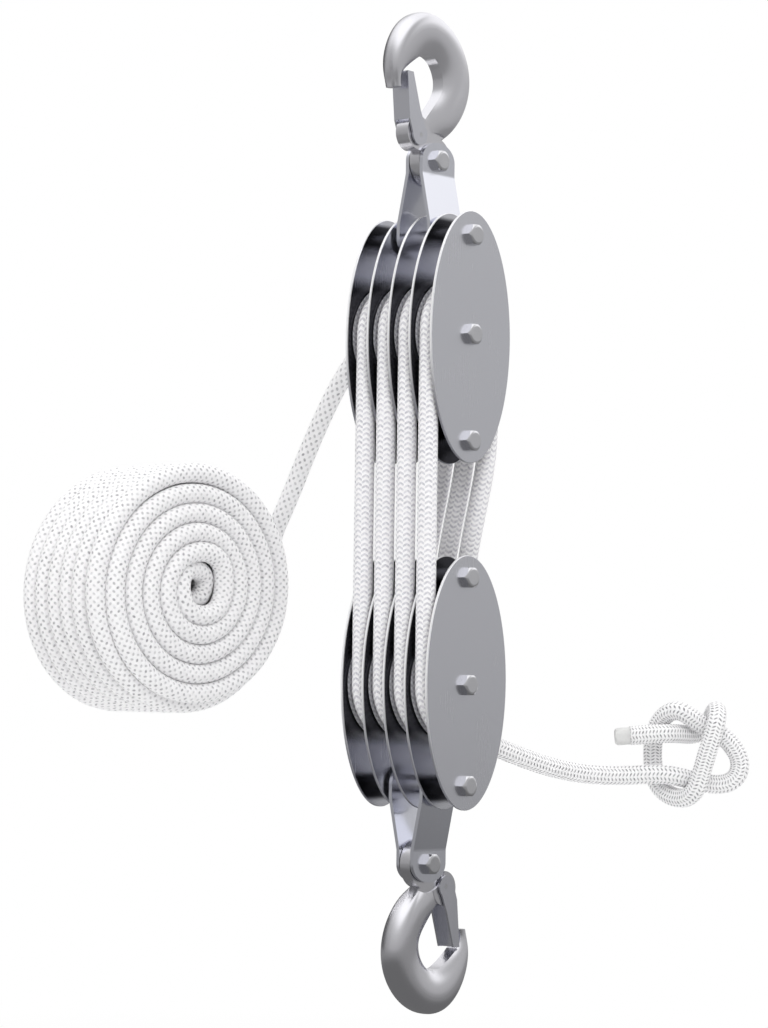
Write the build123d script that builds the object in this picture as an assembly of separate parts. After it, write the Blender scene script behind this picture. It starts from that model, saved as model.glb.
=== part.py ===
"""Rope block and tackle with two hooks, in millimetres.

X runs along the bolts, with their heads at +X, and Z is up. The origin is the centre
of the upper hook's bowl. A block is drawn about its axle with its hook up, and the
lower block is the same one turned over about X.
"""

import os
from math import acos, cos, hypot, radians, sin, tan

from build123d import *

# Rope
ROPE_D = 10.0
ROPE_GAP = 0.3
AXLE_DROP = 177.0
TURN_R = 23.7

# Block plates
PLATE_L = 128.0
PLATE_W = 62.4
PLATE_T = 1.6
PLATE_LOW = 1.2
PLATE_EDGE = 0.3
SHEAVES = 4
SHEAVE_W = 11.8
SIDE_PLAY = 0.3

# Bolts of a block
BOLT_D = 6.0
BOLT_PLAY = 0.1
HOOK_SIDE = 50.5
FAR_SIDE = 54.0
HEAD_AF = 10.0
HEAD_H = 3.7
HEAD_ROUND = 2.2
NUT_H = 5.0
BOLT_END = 2.0
SPACER_D = 10.0

# Sheaves
RIM_T = 0.6
RIM_OVER = 4.6
HUB_R = 10.5
RECESS_R = 15.3
RECESS = 3.0
BUSH_D = 12.0
SLEEVE_D = 8.0
RUN_PLAY = 0.05

# Hanger straps
STRAP_W = 25.4
STRAP_T = 2.0
STRAP_END = 9.4
STRAP_REACH = 40.0
STRAP_FLAT = 7.0
STRAP_BEND = 6.0
STRAP_OUT = 2.0

# Hook, drawn with its eye at zero and its bowl up
EYE_T = 6.6
EYE_R = 12.6
EYE_PLAY = 0.3
BOWL_Y = -7.6
BOWL_Z = 41.4
BOWL_R = 12.8
TOP_D = 22.0
BODY_D = 20.0
BODY_HALF = 7.4
INNER_HALF = 3.4
TIP_D = 4.2
TIP_HALF = 4.4
TIP_OUT = 6.6
TIP_END = 34.4
TIP_L = 8.0
SHANK_TURN = 40.0
SHANK_L = 24.0
SHANK_D = 17.5
SHANK_HALF = 4.0
SPOT_PLAY = 2.0

# Safety latch
LATCH_Y = -13.6
LATCH_Z = 11.8
LATCH_T = 1.1
LATCH_PLAY = 0.25
LATCH_REST = 1.0
LATCH_TOP = 43.1
LATCH_MOUTH = 4.6
LATCH_FOOT = 9.0
LATCH_LOW = 7.2
LATCH_WAIST = 13.0
LATCH_R = 5.6
LUG_R = 8.8
LATCH_PIN_D = 2.2

# Rope coil
COIL_X = -152.0
COIL_Y = -13.2
COIL_Z = -125.0
COIL_TURN = 7.0
COIL_PITCH = 10.9
COIL_LAYERS = 7
COIL_RING = 10.5
COIL_CONE = 1.3
COIL_TOP = 60.5
COIL_FOOT = 63.9
COIL_IN = 10.0
COIL_FIRST = 0.4
COIL_NEXT = 1.2
COIL_CURL = 0.35
COIL_DIVE = 4.4
CORE_GAP = 0.5
CORE_SLACK = 1.6
CORE_BORE = 17.0

# Sealed rope end
SEAL_L = 8.4
SEAL_R = 4.6

GAP = SHEAVE_W + 2 * SIDE_PLAY
PITCH = GAP + PLATE_T
PLATE_X = [(i - SHEAVES / 2) * PITCH for i in range(SHEAVES + 1)]
SHEAVE_X = [(i - (SHEAVES - 1) / 2) * PITCH for i in range(SHEAVES)]
OUTER_X = PLATE_X[-1] + PLATE_T / 2
GROOVE_R = ROPE_D / 2 + ROPE_GAP
RIM_R = TURN_R + RIM_OVER
HOOK_BOLT = HOOK_SIDE + STRAP_REACH
STRAP_IN = EYE_T / 2 + EYE_PLAY
STRAP_FOOT = GAP + PLATE_T / 2 - STRAP_OUT - STRAP_T
HOOK_OUT = STRAP_IN + STRAP_T
LATCH_IN = SHANK_HALF + LATCH_PLAY
LATCH_OUT = LATCH_IN + LATCH_T
TIP_Y = BOWL_Y - BOWL_R - TIP_OUT
SPOT_R = STRAP_W / 2 + SPOT_PLAY

SHIFT = Pos(0, -BOWL_Y, -HOOK_BOLT - BOWL_Z)
UPPER = SHIFT
LOWER = SHIFT * Pos(0, 0, -AXLE_DROP) * Rot(180, 0, 0)


def rod(radius, x0, x1, y=0.0, z=0.0):
    """Round bar along X."""
    return Pos((x0 + x1) / 2, y, z) * Rot(0, 90, 0) * Cylinder(radius, x1 - x0)


def tube(radius, bore, x0, x1, y=0.0, z=0.0):
    """Round tube along X."""
    return rod(radius, x0, x1, y, z) - rod(bore, x0, x1, y, z)


def slab(sketch, x0, x1):
    """Flat piece drawn in Y and Z, from x0 to x1."""
    return extrude(Plane.YZ.offset(x0) * sketch, x1 - x0)


def bolt(z, seat, end):
    """Hex bolt with a rounded head on the +X side of the seat."""
    corner = HEAD_AF / 2 / cos(radians(30))
    head = slab(Pos(0, z) * RegularPolygon(HEAD_AF / 2, 6, major_radius=False), seat, seat + HEAD_H)
    dome = rod(corner, seat, seat + HEAD_H, 0, z)
    rim = dome.edges().filter_by(GeomType.CIRCLE).sort_by(Axis.X)[-1]
    return (head & fillet(rim, HEAD_ROUND)) + rod(BOLT_D / 2, end, seat, 0, z)


def nut(z, seat):
    """Hex nut on the -X side of the seat."""
    body = slab(Pos(0, z) * RegularPolygon(HEAD_AF / 2, 6, major_radius=False), seat - NUT_H, seat)
    corner = HEAD_AF / 2 / cos(radians(30))
    cone = rod(corner, seat - NUT_H, seat, 0, z)
    rim = cone.edges().filter_by(GeomType.CIRCLE).sort_by(Axis.X)[0]
    return (body & chamfer(rim, 0.6)) - rod(BOLT_D / 2, seat - NUT_H, seat, 0, z)


# One block
BOLT_Z = (HOOK_SIDE, 0.0, -FAR_SIDE)
HOLE_R = BOLT_D / 2 + BOLT_PLAY


def plate(x):
    """Oval side plate with three bolt holes."""
    oval = Pos(0, -PLATE_LOW) * Ellipse(PLATE_W / 2, PLATE_L / 2)
    blank = slab(oval, x - PLATE_T / 2, x + PLATE_T / 2)
    blank = chamfer(blank.edges().filter_by(GeomType.ELLIPSE), PLATE_EDGE)
    for z in BOLT_Z:
        blank -= rod(HOLE_R, x - PLATE_T, x + PLATE_T, 0, z)
    return blank


def sheave(x):
    """Grooved wheel with a recessed web and a bore for its bush."""
    bore = BUSH_D / 2
    face = Pos(0, (RIM_R + bore) / 2) * Rectangle(SHEAVE_W, RIM_R - bore)
    face -= Pos(0, TURN_R) * Circle(GROOVE_R)
    face -= Pos(0, TURN_R + RIM_OVER) * Rectangle(SHEAVE_W - 2 * RIM_T, 2 * RIM_OVER)
    for side in (-1, 1):
        web = Rectangle(2 * RECESS, RECESS_R - HUB_R)
        face -= Pos(side * SHEAVE_W / 2, (RECESS_R + HUB_R) / 2) * web
    return Pos(x, 0, 0) * revolve(face, Axis.X)


def bush(x):
    return tube(BUSH_D / 2, SLEEVE_D / 2 + RUN_PLAY, x - SHEAVE_W / 2, x + SHEAVE_W / 2)


def sleeves():
    return [tube(SLEEVE_D / 2, HOLE_R, x - GAP / 2, x + GAP / 2) for x in SHEAVE_X]


def spacers():
    """Distance tubes on the two end bolts, split where a strap sits on the bolt."""
    out = [tube(SPACER_D / 2, HOLE_R, x - GAP / 2, x + GAP / 2, 0, -FAR_SIDE) for x in SHEAVE_X]
    for x in SHEAVE_X:
        if abs(x) > PITCH:
            out.append(tube(SPACER_D / 2, HOLE_R, x - GAP / 2, x + GAP / 2, 0, HOOK_SIDE))
            continue
        side = 1 if x > 0 else -1
        spans = (
            (PLATE_T / 2, STRAP_FOOT - SIDE_PLAY),
            (STRAP_FOOT + STRAP_T + SIDE_PLAY, PLATE_T / 2 + GAP),
        )
        for a, b in spans:
            x0, x1 = sorted((side * a, side * b))
            out.append(tube(SPACER_D / 2, HOLE_R, x0, x1, 0, HOOK_SIDE))
    return out


# Hanger
def strap(side):
    """Joggled flat strap from a block's bolt to the hook bolt."""
    foot, top = HOOK_SIDE, HOOK_BOLT
    end = STRAP_END + 1
    inner = [
        (STRAP_FOOT, foot - end),
        (STRAP_FOOT, foot + STRAP_FLAT),
        (STRAP_IN, top - STRAP_FLAT),
        (STRAP_IN, top + end),
    ]
    outer = [(x + STRAP_T, z) for x, z in reversed(inner)]
    outline = make_face(Polyline(*inner, *outer, close=True))
    bends = [v for v in outline.vertices() if foot < v.Y < top]
    bent = extrude(Plane.XZ * fillet(bends, STRAP_BEND), STRAP_W, both=True)
    flat = Pos(0, (foot + top) / 2) * Rectangle(STRAP_W, top - foot)
    for z in (foot, top):
        flat += Pos(0, z) * Ellipse(STRAP_W / 2, STRAP_END)
    bent &= slab(flat, 0, STRAP_FOOT + 2 * STRAP_T)
    for z in (foot, top):
        bent -= rod(BOLT_D / 2 + RUN_PLAY, 0, OUTER_X, 0, z)
    return bent if side > 0 else mirror(bent, Plane.YZ)


# Hook
def hook_section(y, z, angle, depth, half, flat):
    """Closed outline across the hook, flat inside, bellied outside."""
    e = (0, cos(radians(angle)), sin(radians(angle)))
    where = Plane(origin=(0, y, z), x_dir=e, z_dir=(0, e[2], -e[1]))
    wide = 0.6 * depth
    outline = [
        Line((0, -flat), (0, flat)),
        TangentArc((wide, half), (0, flat), tangent=(-1, 0)),
        Spline((wide, half), (depth, 0), (wide, -half), tangents=((1, 0), (-1, 0))),
        TangentArc((wide, -half), (0, -flat), tangent=(-1, 0)),
    ]
    return where * make_face(outline)


def bowl_point(angle):
    return BOWL_Y + BOWL_R * cos(radians(angle)), BOWL_Z + BOWL_R * sin(radians(angle))


def hook():
    """Forged hook lofted round its bowl, with a thinned eye and a latch lug."""
    rows = [(TIP_Y, TIP_END, 180, TIP_D, TIP_HALF, 0.85 * INNER_HALF)]
    rows.append((TIP_Y + 0.5, TIP_END + TIP_L, 168, 1.6 * TIP_D, 1.2 * TIP_HALF, INNER_HALF))
    for angle, turned, depth, half in (
        (136, 124, 0.82 * TOP_D, 0.92 * BODY_HALF),
        (90, 90, TOP_D, BODY_HALF),
        (45, 45, (TOP_D + BODY_D) / 2, BODY_HALF),
        (0, 0, BODY_D, BODY_HALF),
        (-SHANK_TURN, -SHANK_TURN, (BODY_D + SHANK_D) / 2, 0.95 * BODY_HALF),
    ):
        rows.append((*bowl_point(angle), turned, depth, half, INNER_HALF))
    y, z = bowl_point(-SHANK_TURN)
    step_y, step_z = SHANK_L * sin(radians(SHANK_TURN)), SHANK_L * cos(radians(SHANK_TURN))
    middle = 0.45 * BODY_HALF + 0.45 * SHANK_HALF
    for share, half in ((0.5, middle), (1.0, SHANK_HALF)):
        rows.append((y - share * step_y, z - share * step_z, -SHANK_TURN, SHANK_D, half, INNER_HALF))
    body = loft([hook_section(*row) for row in rows])
    body += rod(EYE_R, -EYE_T / 2, EYE_T / 2)
    body += rod(LUG_R, -SHANK_HALF, SHANK_HALF, LATCH_Y - 0.4, LATCH_Z + 1.2)
    for side in (-1, 1):
        x0, x1 = sorted((side * EYE_T / 2, side * 3 * EYE_T))
        body -= rod(SPOT_R, x0, x1)
    body -= rod(BOLT_D / 2 + RUN_PLAY, -EYE_T, EYE_T)
    body -= rod(LATCH_PIN_D / 2, -BODY_D, BODY_D, LATCH_Y, LATCH_Z)
    return body


def latch():
    """Sheet latch bent to a channel, closing on the inside of the hook's tip."""
    foot = (LATCH_Y - LATCH_FOOT, LATCH_Z + LATCH_LOW)
    head = (TIP_Y + LATCH_REST + LATCH_T, LATCH_TOP)
    waist = (LATCH_Y - 1.0, LATCH_Z + LATCH_WAIST)
    knuckle = (LATCH_Y - 0.8, LATCH_Z + 0.2)
    run = hypot(head[0] - foot[0], head[1] - foot[1])
    inward = ((head[1] - foot[1]) / run * LATCH_T, -(head[0] - foot[0]) / run * LATCH_T)
    cheek = make_face(
        Polyline(
            foot,
            head,
            (head[0] + LATCH_MOUTH, LATCH_TOP),
            waist,
            (knuckle[0] + LATCH_R, knuckle[1]),
            (knuckle[0] - LATCH_R, knuckle[1]),
            close=True,
        )
    )
    corner = cheek.vertices().sort_by_distance(Vector(*waist))[0]
    cheek = fillet(corner, LATCH_WAIST) + Pos(*knuckle) * Circle(LATCH_R)
    web = make_face(
        Polyline(
            foot,
            head,
            (head[0] + inward[0], head[1] + inward[1]),
            (foot[0] + inward[0], foot[1] + inward[1]),
            close=True,
        )
    )
    piece = slab(web, -LATCH_OUT, LATCH_OUT)
    for side in (-1, 1):
        x0, x1 = sorted((side * LATCH_IN, side * LATCH_OUT))
        piece += slab(cheek, x0, x1)
    return piece - rod(LATCH_PIN_D / 2 + RUN_PLAY, -BODY_D, BODY_D, LATCH_Y, LATCH_Z)


def latch_pin():
    return rod(LATCH_PIN_D / 2, -LATCH_OUT, LATCH_OUT, LATCH_Y, LATCH_Z)


# Rope
def follow(path):
    """Round rope swept along a path."""
    return sweep(Plane(origin=path @ 0, z_dir=path % 0) * Circle(ROPE_D / 2), path=path)


def cord_path(name, points):
    """Straight runs joined by tangent arcs that take most of the shorter run."""
    radii = []
    for a, b, c in zip(points, points[1:], points[2:]):
        before, after = Vector(*b) - Vector(*a), Vector(*c) - Vector(*b)
        turn = acos(max(-1.0, min(1.0, before.normalized().dot(after.normalized()))))
        radii.append(0.45 * min(before.length, after.length) / tan(turn / 2))
    path = FilletPolyline(*points, radius=radii)
    print(name, "length", round(path.length, 1), "bend radii", [round(r, 1) for r in radii])
    return path


def on_sheave(x, axle, angle):
    """Point of the rope's centre line on a sheave, the angle counted from +Y towards +Z."""
    return x, TURN_R * cos(radians(angle)), axle + TURN_R * sin(radians(angle))


def turn(x, axle, start, end):
    """Rope laid round a sheave from one angle to another."""
    ends = [on_sheave(x, axle, a) for a in (start, (start + end) / 2, end)]
    return follow(ThreePointArc(*ends))


LEAVE_UP = 70.0
LEAVE_LOW = 259.0


def upper_turns():
    ends = [LEAVE_UP, 0.0, 0.0, 0.0]
    return [turn(x, 0.0, 180.0, end) for x, end in zip(SHEAVE_X, ends)]


def lower_turns():
    ends = [360.0, 360.0, 360.0, LEAVE_LOW]
    return [turn(x, -AXLE_DROP, 180.0, end) for x, end in zip(SHEAVE_X, ends)]


def front_strands():
    return [Pos(x, -TURN_R, -AXLE_DROP / 2) * Cylinder(ROPE_D / 2, AXLE_DROP) for x in SHEAVE_X]


def back_strands():
    """Three falls that cross one sheave over between the blocks."""
    out = []
    level, ease = 52.0, 12.0
    for high, low in zip(SHEAVE_X[1:], SHEAVE_X):
        route = [
            (high, TURN_R, 0.0),
            (high, TURN_R, -level),
            (low, TURN_R, level - AXLE_DROP),
            (low, TURN_R, -AXLE_DROP),
        ]
        run = Vector(*route[2]) - Vector(*route[1])
        bend = ease / tan(acos(-run.Z / run.length) / 2)
        out.append(follow(FilletPolyline(*route, radius=bend)))
    return out


# Rope coil, wound about an axis near X
COIL_A = Vector(cos(radians(COIL_TURN)), -sin(radians(COIL_TURN)), 0)
COIL_H = Vector(sin(radians(COIL_TURN)), cos(radians(COIL_TURN)), 0)
COIL_O = Vector(COIL_X, COIL_Y, COIL_Z)
COIL_MID = (COIL_TOP - COIL_FOOT) / 2
COIL_R = (COIL_TOP + COIL_FOOT) / 2
COIL_BACK = (COIL_LAYERS - 1) * COIL_PITCH


def at(h, z, a):
    """Point of the coil from its sideways, upright and axial distances."""
    return COIL_O + COIL_H * h + Vector(0, 0, z) + COIL_A * a


def arc(side, z0, z1, a0, a1):
    """Half turn between two heights on the upright through the axis."""
    mid, radius, a = (z0 + z1) / 2, abs(z0 - z1) / 2, (a0 + a1) / 2
    return [ThreePointArc(at(0, z0, a0), at(side * radius, mid, a), at(0, z1, a1))]


def climb(z0, z1, a):
    """Half turn up the left side that moves one layer forward, as two arcs."""
    p0, p1 = at(0, z0, a), at(0, z1, a + COIL_PITCH)
    joint = (p0 + p1) / 2 - COIL_H * ((p1 - p0).length / 2)
    return [TangentArc(p0, joint, tangent=-COIL_H), TangentArc(joint, p1, tangent=p1 - p0)]


def onward(edges, point):
    """Arc to a point that goes on smoothly from the last edge."""
    return TangentArc(edges[-1] @ 1, point, tangent=edges[-1] % 1)


def coil_path():
    """Front spiral in, back through the hole, rear spiral out, then the barrel forward."""
    p, back, r = COIL_PITCH, -COIL_BACK, COIL_IN
    start = at(COIL_R, COIL_MID + ROPE_D, -p)
    edges = [Line(start, at(COIL_R, COIL_MID, -p))]
    edges.append(TangentArc(at(COIL_R, COIL_MID, -p), at(0, COIL_MID - COIL_R, -p), tangent=(0, 0, -1)))
    tops = [COIL_TOP - COIL_FIRST] + [COIL_TOP - COIL_NEXT - i * COIL_RING for i in range(1, 5)]
    feet = [-(COIL_FOOT - 5.4) + i * COIL_RING for i in range(5)]
    feet[-1] += COIL_CURL
    out = [i * COIL_CONE for i in range(5)]
    edges += climb(-COIL_FOOT, tops[0], -p)
    for i in range(4):
        half = out[i] + COIL_CONE / 2
        edges += arc(1, tops[i], feet[i], out[i], half)
        edges += arc(-1, feet[i], tops[i + 1], half, out[i + 1])
    front = out[-1]
    edges.append(TangentArc(at(0, tops[-1], front), at(3.0, feet[-1], front), tangent=COIL_H))
    edges.append(onward(edges, at(3.0 - r, feet[-1] + r, front)))
    edges.append(Line(edges[-1] @ 1, edges[-1] @ 1 + edges[-1] % 1 * COIL_DIVE))
    dive = edges[-1] @ 1 + (edges[-1] % 1 - COIL_A) * r
    edges.append(onward(edges, dive))
    rise = dive - COIL_A * (COIL_BACK + front - 2 * r) - COIL_H * 4.0
    edges.append(onward(edges, (dive + rise) / 2))
    edges.append(onward(edges, rise))
    begin = rise + (COIL_H - COIL_A) * r
    edges.append(onward(edges, begin))
    tops = [COIL_TOP - 6.0 - (3 - i) * COIL_RING for i in range(4)]
    feet = [-(COIL_FOOT - 11.5) + (3 - i) * COIL_RING for i in range(4)] + [-COIL_FOOT]
    feet[0] += 0.6
    low = Vector(begin.X, begin.Y, COIL_Z + feet[0])
    edges.append(onward(edges, low))
    edges.append(Line(low, at(0, feet[0], back)))
    for i, top in enumerate(tops):
        edges += arc(-1, feet[i], top, back, back)
        edges += arc(1, top, feet[i + 1], back, back)
    for layer in range(COIL_LAYERS - 2):
        edges += climb(-COIL_FOOT, COIL_TOP, back + layer * p)
        if layer < COIL_LAYERS - 3:
            ahead = back + (layer + 1) * p
            edges += arc(1, COIL_TOP, -COIL_FOOT, ahead, ahead)
    share = COIL_R * cos(radians(45))
    edges.append(TangentArc(at(0, COIL_TOP, -p), at(share, COIL_MID + share, -p), tangent=COIL_H))
    edges.append(Line(edges[-1] @ 1, edges[-1] @ 1 + (edges[-1] % 1) * ROPE_D))
    return Wire(edges)


def least_gap(path):
    """Least clear distance between parts of the rope at least three widths apart along it."""
    count = int(path.length / 2.5)
    points = [path.position_at(i / count) for i in range(count + 1)]
    step, least = path.length / count, 1e9
    skip = int(3 * ROPE_D / step) + 1
    for i, a in enumerate(points):
        for b in points[i + skip :: 1]:
            far = (a.X - b.X) ** 2 + (a.Y - b.Y) ** 2 + (a.Z - b.Z) ** 2
            least = min(least, far)
    return least**0.5 - ROPE_D


def coil_core():
    """Plain ring in place of the turns inside the coil."""
    deep = ROPE_D / 2 + CORE_GAP
    outer = COIL_R - deep - CORE_SLACK
    where = Plane(origin=at(0, COIL_MID, -COIL_BACK + deep), x_dir=COIL_H, z_dir=COIL_A)
    hole = Plane(origin=at(0, 0, -COIL_BACK + deep), x_dir=COIL_H, z_dir=COIL_A)
    long = COIL_BACK - 2 * deep
    return extrude(where * Circle(outer), long) - extrude(hole * Circle(CORE_BORE), long)


def lead_path():
    """Lead from the upper block's first sheave, over and down to the coil."""
    start = Vector(*on_sheave(SHEAVE_X[0], 0.0, LEAVE_UP))
    way = Vector(0, sin(radians(LEAVE_UP)), -cos(radians(LEAVE_UP)))
    end = at(COIL_R, COIL_MID + ROPE_D, -COIL_PITCH)
    return cord_path(
        "lead",
        [
            tuple(start),
            tuple(start + way * 28.0),
            (-38.0, 54.0, 11.0),
            (-66.0, 58.0, 13.0),
            (-90.0, 54.0, 8.0),
            (-108.5, 52.0, -14.0),
            (-127.5, 52.0, -45.0),
            (-144.5, 53.0, -76.0),
            tuple(end + Vector(0, 0, 18.0)),
            tuple(end),
        ],
    )


# Loose knot in the tail, drawn in the plane that faces along KNOT_TURN
KNOT_O = Vector(21.0, 121.7, -224.2)
KNOT_TURN = 41.1
KNOT_U = Vector(cos(radians(KNOT_TURN)), sin(radians(KNOT_TURN)), 0)
KNOT_W = Vector(sin(radians(KNOT_TURN)), -cos(radians(KNOT_TURN)), 0)
KNOT = [
    (29.2, 1.4, 2.3), (38.9, 0.7, 2.3), (48.1, -1.5, -0.6), (57.3, -3.6, -2.0),
    (64.7, -4.0, -1.5), (70.7, -2.0, -0.5), (74.2, 2.9, 0.0), (74.5, 9.5, 0.0),
    (71.0, 16.0, 0.0), (65.9, 21.5, 0.0), (59.6, 24.9, 0.3), (52.7, 28.4, 1.0),
    (46.4, 32.8, 1.7), (42.1, 35.1, 1.0), (37.8, 34.8, -1.5), (34.1, 32.0, -5.0),
    (30.9, 26.9, -8.0), (29.1, 20.3, -8.8), (28.6, 13.2, -9.0), (28.9, 6.6, -9.0),
    (29.5, -0.3, -9.0), (33.2, -7.2, -7.0), (39.5, -11.3, -1.5), (46.4, -11.3, 5.0),
    (50.7, -5.7, 9.7), (53.0, 2.9, 10.7), (55.8, 13.2, 11.2), (58.7, 22.3, 11.6),
    (60.8, 30.4, 10.6), (61.6, 35.4, 4.5), (61.4, 35.5, -4.5), (60.1, 30.6, -10.8),
    (57.6, 25.8, -12.2), (53.3, 22.9, -11.0), (47.0, 22.3, -7.4), (40.1, 22.9, -1.0),
    (33.8, 22.9, 3.3), (26.9, 22.5, 4.5), (21.0, 22.0, 4.6), (15.5, 21.5, 4.3),
]


def knot_point(u, v, w):
    return tuple(KNOT_O + KNOT_U * u + Vector(0, 0, v) + KNOT_W * w)


def tail_path():
    """Tail from the lower block's last sheave to its knot and end."""
    start = Vector(*on_sheave(SHEAVE_X[-1], -AXLE_DROP, LEAVE_LOW))
    way = Vector(0, -sin(radians(LEAVE_LOW)), cos(radians(LEAVE_LOW)))
    points = [
        tuple(start),
        tuple(start + way * 28.0),
        (21.0, 51.0, -213.2),
        (21.0, 77.0, -219.0),
        (21.6, 98.0, -222.3),
        (25.5, 115.0, -223.8),
        (33.0, 129.6, -223.9),
    ]
    return cord_path("tail", points + [knot_point(*p) for p in KNOT])


def tail_tip(path):
    """Melted rope end, rounded at its tip."""
    end, way = path @ 1, path % 1
    blank = Cylinder(SEAL_R, SEAL_L, align=(Align.CENTER, Align.CENTER, Align.MIN))
    rim = blank.edges().filter_by(GeomType.CIRCLE).sort_by(Axis.Z)[-1]
    return Plane(origin=end, z_dir=way).location * fillet(rim, 2.2)


nodes = {}
for place, where in (("upper", UPPER), ("lower", LOWER)):
    made = {f"plate_{i + 1}": plate(x) for i, x in enumerate(PLATE_X)}
    made["bolts"] = [bolt(z, OUTER_X, -OUTER_X - NUT_H - BOLT_END) for z in BOLT_Z]
    made["nuts"] = [nut(z, -OUTER_X) for z in BOLT_Z]
    made["spacers"] = spacers()
    made["sleeves"] = sleeves()
    for letter, x in zip("abcd", SHEAVE_X):
        made[f"sheave_{letter}"] = sheave(x)
        made[f"bush_{letter}"] = bush(x)
    made["strap_near"] = strap(1)
    made["strap_far"] = strap(-1)
    made["hook_bolt"] = bolt(HOOK_BOLT, HOOK_OUT, -HOOK_OUT - NUT_H - BOLT_END)
    made["hook_nut"] = nut(HOOK_BOLT, -HOOK_OUT)
    made["hook"] = Pos(0, 0, HOOK_BOLT) * hook()
    made["latch"] = Pos(0, 0, HOOK_BOLT) * latch()
    made["latch_pin"] = Pos(0, 0, HOOK_BOLT) * latch_pin()
    for name, shape in made.items():
        many = shape if isinstance(shape, list) else [shape]
        nodes[f"{place}_{name}"] = [where * s for s in many]

wound, tail = coil_path(), tail_path()
print("coil length", round(wound.length, 1), "least gap to itself", round(least_gap(wound), 2))
for name, many in (
    ("upper_rope_turns", upper_turns()),
    ("lower_rope_turns", lower_turns()),
    ("front_rope_strands", front_strands()),
    ("back_rope_strands", back_strands()),
    ("lead_rope", [follow(lead_path())]),
    ("rope_coil", [follow(wound)]),
    ("rope_coil_core", [coil_core()]),
    ("tail_rope", [follow(tail)]),
    ("tail_rope_tip", [tail_tip(tail)]),
):
    nodes[name] = [SHIFT * s for s in many]

os.makedirs("parts", exist_ok=True)
for name, many in nodes.items():
    solids = [solid for shape in many for solid in shape.solids()]
    export_step(solids[0] if len(solids) == 1 else Compound(children=solids), f"parts/{name}.step")
section = 3.14159265 * ROPE_D**2 / 4
for name, path in (("rope_coil", wound), ("tail_rope", tail)):
    held = round(sum(s.volume for s in nodes[name]))
    print(name, "volume", held, "section by length", round(section * path.length))
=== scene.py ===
"""Rope block and tackle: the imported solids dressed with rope, finishes and light.

Sizes are millimetres about the upper axle, as in the part's source, and placed() turns
them into metres in the shared frame. Finishes and the studio are in metres.
"""

import bpy
import numpy as np
from mathutils import Matrix, Vector


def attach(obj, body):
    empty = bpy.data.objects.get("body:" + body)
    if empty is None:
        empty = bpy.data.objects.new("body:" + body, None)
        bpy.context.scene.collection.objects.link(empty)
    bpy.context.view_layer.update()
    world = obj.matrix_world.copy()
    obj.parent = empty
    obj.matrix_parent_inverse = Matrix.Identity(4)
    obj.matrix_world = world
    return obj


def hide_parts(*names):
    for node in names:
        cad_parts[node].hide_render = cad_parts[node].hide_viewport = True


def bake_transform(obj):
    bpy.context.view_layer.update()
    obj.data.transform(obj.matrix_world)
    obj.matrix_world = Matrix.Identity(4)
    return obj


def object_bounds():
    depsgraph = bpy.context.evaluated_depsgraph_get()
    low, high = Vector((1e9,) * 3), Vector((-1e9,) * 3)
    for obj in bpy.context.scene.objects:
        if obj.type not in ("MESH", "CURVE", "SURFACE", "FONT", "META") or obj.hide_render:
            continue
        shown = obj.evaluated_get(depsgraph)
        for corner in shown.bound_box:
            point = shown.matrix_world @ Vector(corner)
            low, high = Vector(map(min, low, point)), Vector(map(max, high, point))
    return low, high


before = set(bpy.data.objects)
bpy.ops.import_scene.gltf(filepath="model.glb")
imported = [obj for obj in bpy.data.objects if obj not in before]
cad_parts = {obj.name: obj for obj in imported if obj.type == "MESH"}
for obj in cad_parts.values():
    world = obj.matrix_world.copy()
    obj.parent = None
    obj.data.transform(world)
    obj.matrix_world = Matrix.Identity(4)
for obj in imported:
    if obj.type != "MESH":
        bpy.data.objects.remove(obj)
solid_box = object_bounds()

# Shared sizes
ROPE_D = 10.0
AXLE_DROP = 177.0
TURN_R = 23.7
PITCH = 14.0
SHEAVE_X = np.array([-1.5, -0.5, 0.5, 1.5]) * PITCH
LEAVE_UP = 70.0
LEAVE_LOW = 259.0
AXLE = np.array([0.0, 7.6, -131.9])
MIDDLE = (0.0, 0.0, -0.22)
UP = np.array([0.0, 0.0, 1.0])
MM = 0.001


def placed(points):
    """Metres in the shared frame, from millimetres about the upper axle."""
    return (np.asarray(points, float) + AXLE) * MM


# Meshes
FIXED_TRIES = 200
GOLDEN_ANGLE = 2.399963


def filled(name, points, quads, tris, cells=None):
    """Mesh object from whole arrays of points and faces, with one map value per face corner."""
    mesh = bpy.data.meshes.new(name)
    corners = np.concatenate([np.ravel(quads), np.ravel(tris)]).astype(np.int32)
    sizes = np.concatenate([np.full(len(quads), 4), np.full(len(tris), 3)]).astype(np.int32)
    mesh.vertices.add(len(points))
    mesh.vertices.foreach_set("co", np.ravel(points).astype(np.float32))
    mesh.loops.add(len(corners))
    mesh.loops.foreach_set("vertex_index", corners)
    mesh.polygons.add(len(sizes))
    mesh.polygons.foreach_set("loop_start", (np.cumsum(sizes) - sizes).astype(np.int32))
    mesh.polygons.foreach_set("use_smooth", np.ones(len(sizes), bool))
    if cells is not None:
        chart = mesh.uv_layers.new(name="braid")
        chart.uv.foreach_set("vector", np.ravel(cells).astype(np.float32))
    mesh.update(calc_edges=True)
    mesh.validate()
    piece = bpy.data.objects.new(name, mesh)
    bpy.context.scene.collection.objects.link(piece)
    return piece


def unit(vectors):
    """Vectors of length one with the same directions."""
    return vectors / np.linalg.norm(vectors, axis=-1, keepdims=True)


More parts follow.
